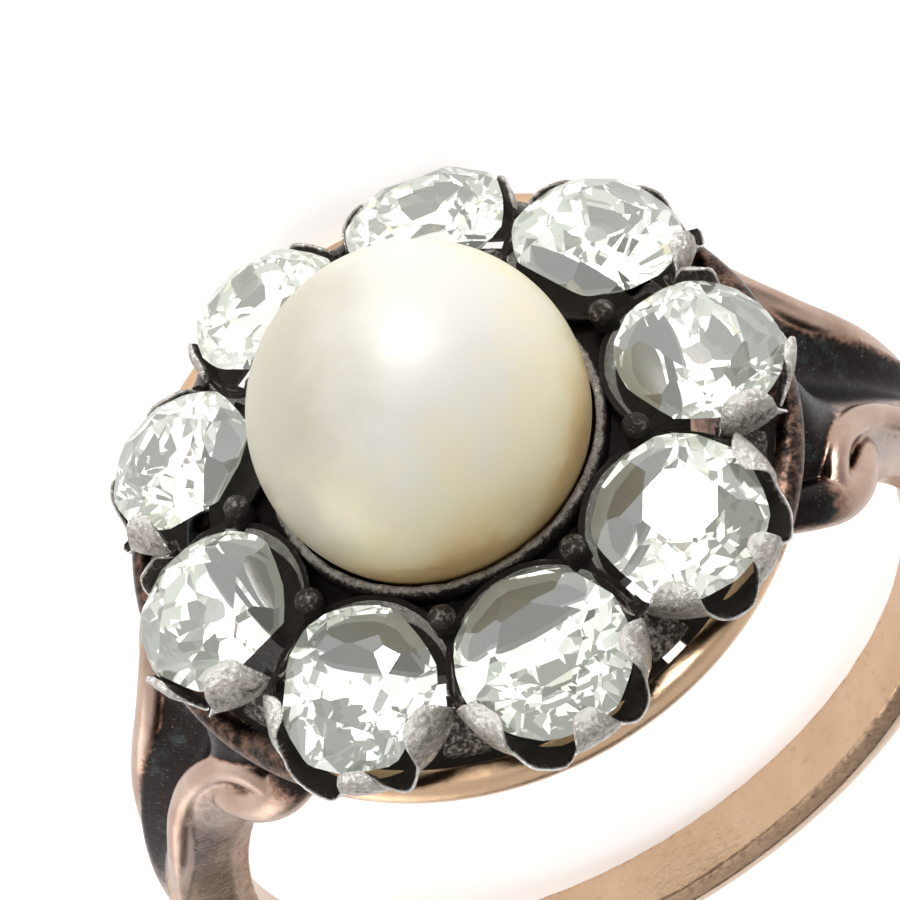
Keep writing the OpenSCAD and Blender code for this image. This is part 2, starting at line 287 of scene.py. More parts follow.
def rose_gold():
    """Old rose gold: rubbed bright where it stands high, brown and then blue-black in the carving, with
    painted shade added in its creases.
    """
    rose, pale_rose = (0.39, 0.265, 0.205), (0.51, 0.375, 0.30)
    band_gold, pale_band_gold = (0.56, 0.36, 0.215), (0.68, 0.475, 0.315)
    scuffed_grey = (0.32, 0.265, 0.24)
    brown_film = (0.25, 0.145, 0.105)
    black_tarnish, green_tarnish = (0.017, 0.013, 0.012), (0.032, 0.040, 0.037)
    dust = (0.55, 0.49, 0.45)
    paint = Paint("rose_gold", metallic=1.0, roughness=0.2)
    cloud = paint.noise(0.8, detail=5)
    warm = paint.blend(paint.ease(cloud, 0.35, 0.7), rose, pale_rose)
    dull = paint.ease(paint.noise(1.3, detail=6, rough=0.65), 0.50, 0.68, 0.0, 0.45)
    flank = paint.ease(paint.math("ADD", paint.mark("grey"), paint.math("MULTIPLY", dull, 0.5)), 0.15, 1.0)
    warm = paint.blend(paint.mark("yellow"), warm, paint.blend(cloud, band_gold, pale_band_gold))
    warm = paint.blend(flank, warm, scuffed_grey)
    verdigris = paint.ease(paint.noise(1.1, detail=7, rough=0.7), 0.52, 0.66)
    tarnish = paint.blend(verdigris, black_tarnish, green_tarnish)
    mottle = paint.ease(paint.noise(4.5, detail=9, rough=0.72), 0.28, 0.74, -0.2, 0.2)
    # Creases: tarnish there and painted shade, darker the more shut in they are
    crease = paint.math("ADD", paint.crease_shade_and_tarnish(0.42), paint.math("MULTIPLY", mottle, 0.3))
    crease = paint.ease(crease, 0.16, 0.56)
    hollow = paint.math("ADD", paint.mark("dark"), mottle)
    dark = paint.math("MAXIMUM", paint.ease(hollow, 0.0, 1.0), crease)
    brown = paint.blend(paint.ease(dark, 0.0, 0.5), warm, brown_film)
    aged = paint.blend(paint.ease(dark, 0.35, 0.95), brown, tarnish)
    specks = paint.ease(paint.noise(14.0, detail=3, rough=0.8), 0.64, 0.72, 0.0, 0.65)
    paint.color(paint.blend(paint.math("MULTIPLY", specks, dark), aged, dust))
    scratches = paint.noise(3.0, detail=7, rough=0.75, stretch=(1, 8, 1))
    polish = paint.ease(scratches, 0.35, 0.8, 0.07, 0.24)
    paint.roughness(paint.math("ADD", polish, paint.math("MULTIPLY", dark, 0.17)))
    paint.relief(paint.math("ADD", scratches, paint.math("MULTIPLY", paint.noise(0.8), 2.0)), 0.010)
    return paint.material


gold = rose_gold()


def neck_tarnish(angle, y):
    """How black the gold is close under the head; the outermost edge of each flank stays rubbed."""
    near_head = np.interp(abs(angle), [131, 137], [0, 1.15])
    return float(near_head * np.interp(abs(y), [3.4, 4.2], [1, 0.3]))


def band_section(angle, carve):
    """Half of the shank's cross section, from its flat inner face over the rim to the middle."""
    half, ridge_r, ridge_y, scoop = table_row(angle)
    share = carve_share(angle)
    half += carve * share
    ridge_y = max(ridge_y + 0.6 * carve * share, 0.08)
    rim_r = FINGER_R + np.interp(abs(angle), [70, 90], [0.2, 0.35])
    thinnest_wall = 0.5
    # A thin dark line runs along the inner edge
    points = [(half * 0.72, FINGER_R), (half * 0.84, FINGER_R)]
    dark, grey = [0.0, 0.3], [0.0, 0.0]
    # The shoulder toward +X is blacker, right up to its ridges, and has a brown film all over
    valley_fill, film = (4, 0.32 * share) if angle > 0 else (1.9, 0.0)
    scuffed = np.interp(abs(angle), [98, 112], [0, 0.9])
    for t in np.linspace(0, math.pi / 2, 30):
        y = half * math.cos(t)
        dome = rim_r + (ridge_r - rim_r) * math.sqrt(1 - min(y / half, 1) ** 3)
        q = min(y / ridge_y, 1)
        points.append((y, max(dome - scoop * (1 - q * q) ** 2, FINGER_R + thinnest_wall)))
        valley = min(scoop / 0.55, 1) * (1 - q ** valley_fill) * 1.35
        dark.append(max(valley, neck_tarnish(angle, y), film))
        grey.append(np.interp(y / half, [0.62, 0.8, 0.93, 1], [0, 1, 0.7, 0]) * scuffed)
    return points, dark, grey


def shank_body():
    """The band and both shoulders as one skin, swept round the finger from one side to the other."""
    rings, dark, grey, yellow = [], [], [], []
    for angle in np.arange(-SHANK_END, SHANK_END + 0.1, 0.5):
        side = 1 if angle > 0 else -1
        upper, upper_dark, upper_grey = band_section(angle, UPPER_CARVE[side])
        lower, lower_dark, lower_grey = band_section(angle, LOWER_CARVE)
        across = upper + [(-y, r) for y, r in lower[-2::-1]]
        rings.append([on_hoop(angle, y, r) for y, r in across])
        dark.append(upper_dark + lower_dark[-2::-1])
        grey.append(upper_grey + lower_grey[-2::-1])
        yellow.append([np.interp(abs(angle), [96, 118], [0.85, 0])] * len(across))
    return skin(rings, {"dark": dark, "grey": grey, "yellow": yellow})


# Scrolls: on each flank of a shoulder the ridge swells into an arm that curls over a blunt tongue, which
# runs back under it into the lobe below the head. All carved from the same gold and rubbed bright on top,
# with a black crescent left between arm and tongue.

# Columns: angle, distance from the middle, radius, half thickness
ARM = np.array([
    [100, 0.75, 10.30, 0.12],
    [108, 1.10, 10.35, 0.22],
    [115, 1.45, 10.42, 0.28],
    [122, 1.60, 10.52, 0.31],
    [127.5, 1.72, 10.58, 0.33],
    [132, 2.02, 10.64, 0.33],
    [135.4, 2.42, 10.66, 0.32],
    [137.4, 2.85, 10.55, 0.31],
    [138.3, 3.25, 10.35, 0.32],
    [138.5, 3.55, 10.10, 0.38],
    [139.5, 3.72, 9.95, 0.42],
])
TONGUE = np.array([
    [129.4, 2.28, 10.12, 0.10],
    [130.0, 2.38, 10.18, 0.26],
    [131.4, 2.62, 10.24, 0.36],
    [132.9, 2.98, 10.16, 0.41],
    [134.8, 3.35, 10.02, 0.46],
    [138, 3.62, 9.92, 0.52],
    [142, 3.74, 9.90, 0.52],
    [146, 3.80, 9.90, 0.48],
    [149, 3.80, 9.90, 0.40],
    [151, 3.80, 9.90, 0.12],
])


def smooth_rows(rows):
    """Rows eased by a smooth curve through the given ones, six steps to each."""
    parts = 6
    out = []
    for i in range(len(rows) - 1):
        p0, p1, p2, p3 = rows[max(i - 1, 0)], rows[i], rows[i + 1], rows[min(i + 2, len(rows) - 1)]
        for f in np.arange(parts) / parts:
            out.append(0.5 * (2 * p1 + (p2 - p0) * f + (2 * p0 - 5 * p1 + 4 * p2 - p3) * f * f
                              + (3 * p1 - p0 - 3 * p2 + p3) * f ** 3))
    return np.array(out + [rows[-1]])


def roll(rows, carve, up, groove):
    """A round bar along the rows, black toward the head and, by groove, in the crescent at its tip."""
    sides = 20
    rows = smooth_rows(rows)
    path = np.array([on_hoop(a, y + carve * carve_share(a), r) for a, y, r, _ in rows])
    rings, dark = [], []
    for i, p in enumerate(path):
        run = path[min(i + 1, len(path) - 1)] - path[max(i - 1, 0)]
        run /= np.linalg.norm(run)
        side = np.cross(run, up)
        side /= np.linalg.norm(side)
        top = np.cross(side, run)
        turns = 2 * np.pi * np.arange(sides) / sides
        rings.append(p + rows[i, 3] * (np.outer(np.cos(turns), side) + np.outer(np.sin(turns), top)))
        near_head = np.interp(rows[i, 0], [138.0, 142.5], [0, 1.05])
        crescent = groove * np.interp(rows[i, 0], [130.2, 132.0], [1, 0])
        dark.append([max(near_head * np.interp(math.sin(t), [-0.4, 0.4], [0.15, 1]),
                         crescent * np.interp(math.sin(t), [0.2, 0.9], [1, 0])) for t in turns])
    return skin(rings, {"dark": dark})


def scrolls(side):
    """Both scrolls of the shoulder toward +X, or mirrored, of the one toward -X."""
    up = np.array(on_hoop(130, 0, 1)) - np.array(on_hoop(130, 0, 0))
    bars = ((ARM, 0.0), (TONGUE, 1.3))
    upper = [roll(rows, UPPER_CARVE[side], up, groove) for rows, groove in bars]
    lower = [moved(roll(rows, LOWER_CARVE, up, groove), Matrix.Scale(-1, 4, (0, 1, 0)))
             for rows, groove in bars]
    both = upper + lower
    return both if side > 0 else [moved(s, Matrix.Scale(-1, 4, (1, 0, 0))) for s in both]


# Rail: the gold ring that carries the cluster, soldered across the tops of the two shoulders.
# A turned wire, flat inside and round outside, polished by wear.
RAIL_IN_R = 6.85
RAIL_OUT_R = 7.45
RAIL_TOP = -1.3
RAIL_BOTTOM = -1.95


def turned(profile, steps, marks=None):
    """A closed profile of (radius, height) spun about the head's axis."""
    turns = 2 * np.pi * np.arange(steps + 1) / steps
    rings = [[(r * math.cos(t), r * math.sin(t), z) for r, z in profile] for t in turns]
    marked = {m: np.tile(values, (steps + 1, 1)) for m, values in (marks or {}).items()}
    return skin(rings, marked, caps=False)


def rail():
    """The rail's wire, black where it crosses the shoulders."""
    edge = 0.03
    half = (RAIL_TOP - RAIL_BOTTOM) / 2
    middle = (RAIL_TOP + RAIL_BOTTOM) / 2
    outside = [(RAIL_OUT_R - half + half * math.cos(t), middle + half * math.sin(t))
               for t in np.linspace(-math.pi / 2, math.pi / 2, 16)]
    inside = [(RAIL_IN_R + edge, RAIL_TOP), (RAIL_IN_R, RAIL_TOP - edge),
              (RAIL_IN_R, RAIL_BOTTOM + edge), (RAIL_IN_R + edge, RAIL_BOTTOM)]
    wire = turned(outside + inside, 240)
    wire["marks"]["dark"] = np.interp(abs(wire["points"][:, 0]), [4.5, 6.0], [0, 0.7])
    wire["marks"]["yellow"] = np.full(len(wire["points"]), 1.0)
    return wire


gold_skins = [moved(s, BAND_TURN) for s in [shank_body()] + scrolls(1) + scrolls(-1)] + [rail()]
casting = melted(gold_skins, cell=0.055, rounds=3, keep=0.38)
shank = piece("gold_shank", [casting], gold, crease=60)
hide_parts("shank")


# Diamonds: nine old mine cut stones, each with its own cushion outline, high crown and small table.
# They are cut by hand, so no two facets match; clear with a faint straw tint.
STONE_CIRCLE_R = 5.8
STONE_PITCH = 40
STONE_TILT = 14
STONE_D = 3.7
GIRDLE = 0.07
# Columns: length along the ring of stones and outward as shares of the diameter, turn, table's share,
# height of the crown, depth of the pavilion
STONES = [
    (1.03, 0.96, 12, 0.50, 0.62, 1.55),
    (1.05, 0.95, -8, 0.46, 0.66, 1.50),
    (1.01, 0.97, 20, 0.52, 0.58, 1.52),
    (1.03, 1.00, 5, 0.44, 0.64, 1.55),
    (1.02, 1.01, -15, 0.48, 0.66, 1.58),
    (0.96, 1.00, 10, 0.47, 0.62, 1.50),
    (0.95, 1.00, -20, 0.52, 0.60, 1.48),
    (0.93, 0.98, 0, 0.45, 0.64, 1.50),
    (0.95, 0.95, 15, 0.50, 0.60, 1.50),
]


def stone_angle(k):
    """Direction of stone k in the head, in degrees from +X."""
    return 90 - (k - 5) * STONE_PITCH


def at_stone(k):
    """Frame of stone k: X outward, Y along the ring of stones, Z through the table."""
    round_head = Matrix.Rotation(math.radians(stone_angle(k)), 4, "Z")
    outward = Matrix.Rotation(math.radians(STONE_TILT), 4, "Y")
    return round_head @ Matrix.Translation((STONE_CIRCLE_R, 0, 0)) @ outward


def clear_stone():
    """Clear diamond with a faint straw tint in patches."""
    paint = Paint("old_diamond", metallic=0.0, roughness=0.0)
    paint.shader.inputs["IOR"].default_value = 2.42
    paint.shader.inputs["Transmission Weight"].default_value = 1.0
    clear, straw = (0.98, 0.985, 0.97), (0.955, 0.965, 0.885)
    paint.color(paint.blend(paint.ease(paint.noise(0.3), 0.42, 0.58), clear, straw))
    # Painted light: a faint glow keeps even the dark facets grey
    paint.shader.inputs["Emission Color"].default_value = (0.88, 0.93, 0.80, 1)
    paint.shader.inputs["Emission Strength"].default_value = 0.10
    return paint.material


diamond_material = clear_stone()


def outline(a, b, turn):
    """Point and outward direction of the cushion outline at one turn."""
    t = math.radians(turn)
    full = 1 + 0.03 * math.sin(2 * t) ** 2
    facing = Vector((math.cos(t) / a, math.sin(t) / b, 0)).normalized()
    return Vector((a * full * math.cos(t), b * full * math.sin(t), 0)), facing


def grind(stone, point, facing):
    """Grinds one flat facet: everything outside its plane goes, and the cut is closed."""
    cut = bmesh.ops.bisect_plane(stone, geom=stone.verts[:] + stone.edges[:] + stone.faces[:], dist=1e-5,
                                 plane_co=point, plane_no=facing, clear_outer=True)
    rim = [e for e in cut["geom_cut"] if isinstance(e, bmesh.types.BMEdge) and e.is_valid]
    if len(rim) > 2:
        bmesh.ops.edgeloop_fill(stone, edges=rim)


def old_mine_cut(k):
    """One stone: a block of its outline, ground down facet by facet, and set in its place."""
    across, outward, turn, table, crown, pavilion = STONES[k - 1]
    a, b = 0.97 * STONE_D * outward / 2, 0.985 * STONE_D * across / 2
    hand = random.Random(40 + k)
    rough = bmesh.new()
    edge = [outline(a, b, t)[0] for t in np.arange(0, 360, 360 / 28)]
    top = [rough.verts.new((p.x, p.y, GIRDLE / 2 + crown)) for p in edge]
    foot = [rough.verts.new((p.x, p.y, -pavilion)) for p in edge]
    rough.faces.new(top)
    rough.faces.new(foot[::-1])
    for i in range(len(edge)):
        j = (i + 1) % len(edge)
        rough.faces.new((top[j], top[i], foot[i], foot[j]))

    def facet(azimuth, slope, height, inset):
        """One facet by its direction round the stone, its slope, and a point that it passes through."""
        azimuth += hand.uniform(-3.5, 3.5)
        slope = math.radians(slope + hand.uniform(-1.6, 1.6))
        point, facing = outline(a, b, azimuth)
        point = point * inset + Vector((0, 0, height))
        tip = 1 if height > 0 else -1
        normal = facing * math.sin(slope) + Vector((0, 0, tip * math.cos(slope)))
        grind(rough, point, normal)

    mean = (a + b) / 2
    top_z = GIRDLE / 2 + crown
    main_slope = math.degrees(math.atan2(crown, mean * (1 - table) * 0.97))
    deep_slope = math.degrees(math.atan2(pavilion + 0.08, mean * 0.93))
    # Crown: mains, halves along the girdle, and stars round the table
    for i in range(8):
        facet(45 * i, main_slope, GIRDLE / 2, 1.0)
    for i in range(16):
        facet(11.25 + 22.5 * i, main_slope + 9 + hand.uniform(-1, 1), GIRDLE / 2, 1.0)
    for i in range(8):
        facet(22.5 + 45 * i, main_slope * 0.58, top_z, table * 0.93)
    # Pavilion: mains, halves along the girdle, two more tiers below, a few odd ones, and the culet
    for i in range(8):
        facet(22.5 + 45 * i, deep_slope, -GIRDLE / 2, 1.0)
    for i in range(16):
        facet(11.25 + 22.5 * i, deep_slope + 3.5 + hand.uniform(-1, 1), -GIRDLE / 2, 1.0)
    for i in range(16):
        facet(22.5 * i + 5, deep_slope - 1.5 + hand.uniform(-1, 1), -pavilion * 0.33, 0.68)
    for i in range(8):
        facet(45 * i, deep_slope - 3 + hand.uniform(-2, 2), -pavilion * 0.62, 0.42)
    for _ in range(16):
        depth = hand.uniform(0.18, 0.66)
        facet(hand.uniform(0, 360), deep_slope + hand.uniform(-3, 7), -pavilion * depth, 1 - depth)
    culet = 0.16
    grind(rough, Vector((0, 0, -pavilion + culet)), Vector((0, 0, -1)))
    rough.normal_update()
    rough.transform(LAID @ at_stone(k) @ Matrix.Rotation(math.radians(turn), 4, "Z"))
    mesh = bpy.data.meshes.new(f"old_mine_diamond_{k}")
    rough.to_mesh(mesh)
    rough.free()
    mesh.materials.append(diamond_material)
    stone = bpy.data.objects.new(f"old_mine_diamond_{k}", mesh)
    bpy.context.scene.collection.objects.link(stone)
    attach(stone, "root")
    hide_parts(f"diamond_{k}")


for k in range(1, 10):
    old_mine_cut(k)


# Silver setting: the pearl's cup and collar, the plate round it and nine open collets with their claws.
# All silver, soldered together and black with age, except where the claws and rims are rubbed bright.
# The mark "wear" runs from below 0, black, through 0.5, grey-brown, to 1, bright.
SEAT_Z = -0.95
PEARL_R = 3.58
PEARL_RISE = 1.4
COLLAR_IN_R = 3.46
COLLAR_OUT_R = 3.68
COLLAR_TOP = 0.3
CUP_RIM_R = 2.12
CUP_RIM_Z = -0.34
CUP_FOOT_R = 1.8
CUP_FOOT_Z = -0.86


def old_silver():
    """Silver with a black skin in its hollows, grey-brown claws, rims and tips rubbed bright, and painted
    shade darkening its creases.
    """
    black_skin, grey_brown, rubbed = (0.042, 0.036, 0.032), (0.43, 0.395, 0.355), (0.84, 0.82, 0.78)
    paint = Paint("old_silver", metallic=1.0, roughness=0.35)
    wrinkle = paint.noise(9.0, detail=9, rough=0.76)
    patch = paint.ease(paint.noise(2.2, detail=6, rough=0.65), 0.3, 0.7, -0.12, 0.12)
    fine = paint.ease(wrinkle, 0.38, 0.64, -0.24, 0.24)
    worn = paint.math("ADD", paint.math("ADD", paint.mark("wear"), patch), fine)
    # Creases: black skin there and painted shade, darker the more shut in they are
    crease = paint.ease(paint.crease_shade_and_tarnish(0.30), 0.40, 0.85)
    worn = paint.math("MULTIPLY", worn, paint.math("SUBTRACT", 1.0, crease), clamp=True)
    grey = paint.blend(paint.ease(worn, 0.0, 0.50), black_skin, grey_brown)
    paint.color(paint.blend(paint.ease(worn, 0.50, 1.0), grey, rubbed))
    paint.roughness(paint.ease(worn, 0.2, 1.0, 0.38, 0.17))
    dents = paint.math("MULTIPLY", paint.noise(1.8, detail=3), 1.2)
    paint.relief(paint.math("ADD", wrinkle, dents), 0.075)
    return paint.material


silver = old_silver()


def pearl_cup():
    """The pearl's seat and the collar round it."""
    profile = [(0, SEAT_Z - 0.25), (3.2, SEAT_Z - 0.25), (COLLAR_OUT_R, SEAT_Z + 0.3), (COLLAR_OUT_R, 0.0),
               (COLLAR_OUT_R, COLLAR_TOP - 0.06), (COLLAR_OUT_R - 0.05, COLLAR_TOP - 0.01),
               (COLLAR_IN_R + 0.1, COLLAR_TOP), (COLLAR_IN_R + 0.02, COLLAR_TOP - 0.04),
               (COLLAR_IN_R, COLLAR_TOP - 0.15), (COLLAR_IN_R, SEAT_Z + 0.55), (2.9, SEAT_Z), (0, SEAT_Z)]
    wear = [0.7, 0.7, 0.5, -0.2, 0.05, 0.4, 0.6, 0.5, 0.1, -0.3, -0.3, -0.3]
    return turned(profile, 180, {"wear": wear})


def plate():
    """The dark sloping plate between the collar and the collets."""
    profile = [(3.6, -0.2), (3.9, -0.24), (4.2, -0.27), (4.55, -0.30), (4.9, -0.35), (5.25, -0.4),
               (5.25, -0.75), (3.6, -0.55)]
    return turned(profile, 240, {"wear": [-0.1] + [-0.3] * 7})


# Collets: one open silver wall round each stone, narrow at its foot and wider at its rim, sawn by hand
# into scallops on the outer side. Three broad claws are left standing and folded in over the girdle.

# For each claw: turn from straight outward and half width in degrees, and how far it folds over
CLAWS = {
    1: [(-72, 20, 0.36), (0, 11, 0.12), (68, 19, 0.36)],
    2: [(-74, 15, 0.80), (2, 12, 0.12), (70, 19, 0.34)],
    3: [(-74, 19, 1.0), (-22, 15, 0.70), (78, 14, 0.65)],
    4: [(-68, 16, 1.0), (-3, 13, 1.0), (66, 18, 1.0)],
    5: [(-66, 19, 1.0), (5, 13.5, 1.0), (65, 16, 1.0)],
    6: [(-64, 16, 0.95), (14, 13, 0.75), (69, 19, 1.0)],
    7: [(-74, 14, 0.60), (16, 14, 0.70), (71, 20, 1.0)],
    8: [(-66, 19, 0.30), (8, 11, 0.12), (73, 15, 0.90)],
    9: [(-70, 19, 0.34), (2, 11, 0.12), (72, 20, 0.36)],
}


def petal(turn, claws):
    """0 on the collet's rim and up to 1 at the tip of a claw."""
    heights = [0.0]
    for c, half, fold in claws:
        away = abs((turn - c + 180) % 360 - 180) / half
        heights.append(fold * max(1 - away ** 3.4, 0) ** 0.55)
        heights.append(0.14 * fold * math.exp(-(max(away - 0.9, 0) / 0.22) ** 2))
    return max(heights)


def along(path, share):
    """The row at a share of a path's length, and the length run at each of its rows."""
    runs = np.hypot(*np.diff(path[:, :2], axis=0).T)
    length = np.concatenate([[0], np.cumsum(runs)])
    at = share * length[-1]
    return np.array([np.interp(at, length, path[:, c]) for c in range(path.shape[1])]), length


def collet(k):
    """One stone's wall, swept round it; its profile ends low in a scallop and high in a claw."""
    across, outward, stone_turn, *_ = STONES[k - 1]
    a, b = STONE_D * outward / 2, STONE_D * across / 2
    hand = random.Random(300 + k)
    reach = {c: hand.uniform(-0.03, 0.06) for c, _, _ in CLAWS[k]}
    rings, wear = [], []
    for turn in np.arange(0, 360.1, 1.5):
        t = math.radians(turn - stone_turn)
        edge = math.hypot(a * math.cos(t), b * math.sin(t))
        outer = np.interp(abs((turn + 180) % 360 - 180), [84, 108], [1, 0])
        rise = petal(turn, CLAWS[k])
        near, _, fold = min(CLAWS[k], key=lambda c: abs((turn - c[0] + 180) % 360 - 180))
        slack = min(abs((turn - c + 180) % 360 - 180) / half for c, half, _ in CLAWS[k])
        snug = float(np.interp(fold, [0.5, 0.8], [0.08, 0.24]))
        dip = outer * (1 - math.exp(-((slack - 1) / 0.45) ** 2)) * (slack > 1)
        rim = CUP_RIM_Z + 0.04 * outer - 0.32 * dip
        flare = 0.15 * dip if snug > 0.2 else -0.14 * outer
        # Columns: distance out, height, thickness, wear
        path = np.array([
            [CUP_FOOT_R, CUP_FOOT_Z, 0.15, -0.2],
            [CUP_FOOT_R + 0.17 + 0.5 * flare, -0.66 - 0.06 * dip, 0.15, -0.2],
            [CUP_RIM_R + flare - 0.02, rim - 0.08, 0.15, 0.25 * outer - 0.1],
            [CUP_RIM_R + flare, rim, 0.14, 0.9 * outer - 0.1],
            [max(edge + snug, CUP_RIM_R + flare - 0.01), -0.08, 0.20, 0.36],
            [edge + snug, 0.14, 0.22, 0.48],
            [edge + 0.14, 0.34, 0.20, 0.58],
            [edge - 0.05, 0.46, 0.16, 0.75],
            [edge - 0.27 - reach[near], 0.47, 0.10, 0.92],
        ])
        _, length = along(path, 1.0)
        rim_share = length[3] / length[-1]
        end = rim_share + (1 - rim_share) * rise
        shares = np.concatenate([np.linspace(0, rim_share * 0.94, 4),
                                 np.linspace(rim_share * 0.97, end, 11)])
        rows = np.array([along(path, v)[0] for v in shares])
        heading = np.gradient(rows[:, :2], axis=0)
        heading /= np.linalg.norm(heading, axis=1)[:, None] + 1e-9
        inward = np.column_stack([-heading[:, 1], heading[:, 0]])
        lip = 1 - 0.5 * np.exp(-((len(rows) - 1 - np.arange(len(rows))) / 1.2) ** 2)
        inner = rows[:, :2] + inward * (rows[:, 2] * lip)[:, None]
        crown = (rows[-1, :2] + inner[-1]) / 2 + heading[-1] * rows[-1, 2] * 0.25
        profile = np.vstack([rows[:, :2], crown, inner[::-1]])
        edge_wear = 0.55 * outer * (1 - rise) ** 2 + 0.22 * fold * rise
        marks = list(rows[:, 3] + edge_wear * np.exp(-((len(rows) - 1 - np.arange(len(rows))) / 1.5) ** 2))
        inside = [0.3 * m - 0.25 for m in marks[::-1]]
        marks += [marks[-1] + 0.1] + inside[:7] + [m + 1.2 * (1 - outer) for m in inside[7:]]
        c, s = math.cos(math.radians(turn)), math.sin(math.radians(turn))
        rings.append([(r * c, r * s, z) for r, z in profile])
        wear.append(marks)
    return moved(skin(rings, {"wear": wear}, caps=False), at_stone(k))


# Bead claws: where two collets meet beside the pearl, one round-headed post holds both stones.
# Silver wire, its head burnished to a bead and dark with age.
BEAD_R = 0.30
BEAD_Z = 0.40
BEAD_CIRCLE_R = 4.4
BEAD_SIDES = 20


def to_joint(k):
    """Turn to the joint between stone k and the one before it."""
    return Matrix.Rotation(math.radians(stone_angle(k) + STONE_PITCH / 2), 4, "Z")


def bead_claw(k):
    """The post and its round head beside stone k."""
    head =np.linspace(-0.5, math.pi / 2 - 0.02, 12)
    profile = [(BEAD_R, -0.62), (0.28, 0.1), (0.27, 0.25)]
    profile += [(BEAD_R * math.cos(t), BEAD_Z + BEAD_R * math.sin(t)) for t in head]
    wear = [-0.3, -0.3, -0.2] + list(np.linspace(-0.15, 0.15, len(head)))
    turns = 2 * np.pi * np.arange(BEAD_SIDES) / BEAD_SIDES
    rings = [[(r * math.cos(t), r * math.sin(t), z) for t in turns] for r, z in profile]
    marks = {"wear": np.repeat(np.array(wear)[:, None], BEAD_SIDES, 1)}
    return moved(skin(rings, marks), to_joint(k) @ Matrix.Translation((BEAD_CIRCLE_R, 0, 0)))


# Webs and shelf: between two collets the silver is hollowed into a web, and a thin dark shelf below closes
# the gap between the collets and the gold rail. Both are sheet silver, soldered in and black with age.
def web(k):
    """The hollowed web between two collets on the outer side."""
    start_r, reach = 5.95, 0.83
    joint_half, collet_r, collet_at = 1.98, 2.1, 5.45
    lap, hollow, thick = 0.14, 0.10, 0.20
    across = np.linspace(-1, 1, 7)
    rings, wear = [], []
    for r in np.linspace(start_r, start_r + reach, 8):
        share = (r - start_r) / reach
        half = max(joint_half - math.sqrt(collet_r ** 2 - (r - collet_at) ** 2), 0) + lap
        top = -0.02 - 0.85 * share ** 1.6
        rings.append([(r, half * u, top - hollow * (1 - u * u)) for u in across]
                     + [(r, half * u, top - thick - hollow * (1 - u * u)) for u in across[::-1]])
        wear.append([0.15 * share] * 2 * len(across))
    return moved(skin(rings, {"wear": wear}), to_joint(k))


def ledge():
    """The dark shelf between the collets and the rail, open only at one gap beside stone 5."""
    profile = [(6.05, -1.22), (6.95, -1.33), (6.95, -1.45), (6.05, -1.34)]
    turns = np.radians(np.linspace(112.3, 467.7, 180))
    rings = [[(r * math.cos(t), r * math.sin(t), z) for r, z in profile] for t in turns]
    return skin(rings, {"wear": [[-0.4] * 4] * len(turns)})


silver_skins = [pearl_cup(), plate(), ledge()]
for k in range(1, 10):
    silver_skins += [collet(k), bead_claw(k), web(k)]
HAMMER_DEPTH = 0.022
setting = piece("silver_setting", silver_skins, silver, crease=50, hammer=HAMMER_DEPTH)
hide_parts("setting")


# Pearl: one large cream button pearl, seated in the silver cup.
# Nacre over a round core: pinkish white in the middle, greenish cream at the sides, golden near its seat,
# where it is also darkened with painted shade.
def nacre():
    """The pearl's skin, coloured by how high a place is above the collar, and darkened with painted shade
    on one side.
    """
    deep_gold, light_gold = (0.54, 0.36, 0.15), (0.68, 0.55, 0.29)
    cream, green_cream = (0.67, 0.61, 0.42), (0.65, 0.63, 0.37)
    pinkish_white = (0.62, 0.60, 0.55)
    shaded_cream = (0.39, 0.355, 0.26)
    paint = Paint("nacre", metallic=0.0, roughness=0.42)
    shader = paint.shader
    shader.inputs["Specular IOR Level"].default_value = 1.0
    shader.inputs["Coat Weight"].default_value = 0.22
    shader.inputs["Coat Roughness"].default_value = 0.30
    shader.inputs["Subsurface Weight"].default_value = 0.25
    shader.inputs["Subsurface Radius"].default_value = (1.0, 0.75, 0.5)
    shader.inputs["Subsurface Scale"].default_value = 0.0004
    cloud = paint.noise(0.55, detail=5, rough=0.6)
    # Height above the collar: golden near the seat, partly the pearl's own golden overtone and partly
    # painted shade under the collar's rim
    height = paint.math("ADD", paint.mark("rise"), paint.ease(cloud, 0.3, 0.7, -0.13, 0.13))
    golden = paint.blend(paint.ease(height, 0.02, 0.30), deep_gold, light_gold)
    green = paint.ease(paint.noise(0.22, detail=2), 0.40, 0.60)
    side = paint.blend(green, cream, green_cream)
    body = paint.blend(paint.ease(height, 0.18, 0.48), golden, side)
    body = paint.blend(paint.ease(height, 0.45, 0.90), body, pinkish_white)
    # Painted shade: the side away from the light is darkened toward a darker cream
    shaded_side = paint.math("ADD", paint.mark("shaded_side"), paint.ease(cloud, 0.3, 0.7, -0.1, 0.1))
    paint.color(paint.blend(paint.ease(shaded_side, 0.1, 0.8, 0.0, 0.9), body, shaded_cream))
    streaks = paint.noise(6.0, detail=5, rough=0.7, stretch=(1, 2, 1))
    paint.relief(paint.math("ADD", streaks, paint.math("MULTIPLY", cloud, 3.0)), 0.006)
    return paint.material


# Direction of the side darkened with painted shade, in the ring's own frame
SHADED_SIDE = Vector((0.88, -0.37, 0.30))


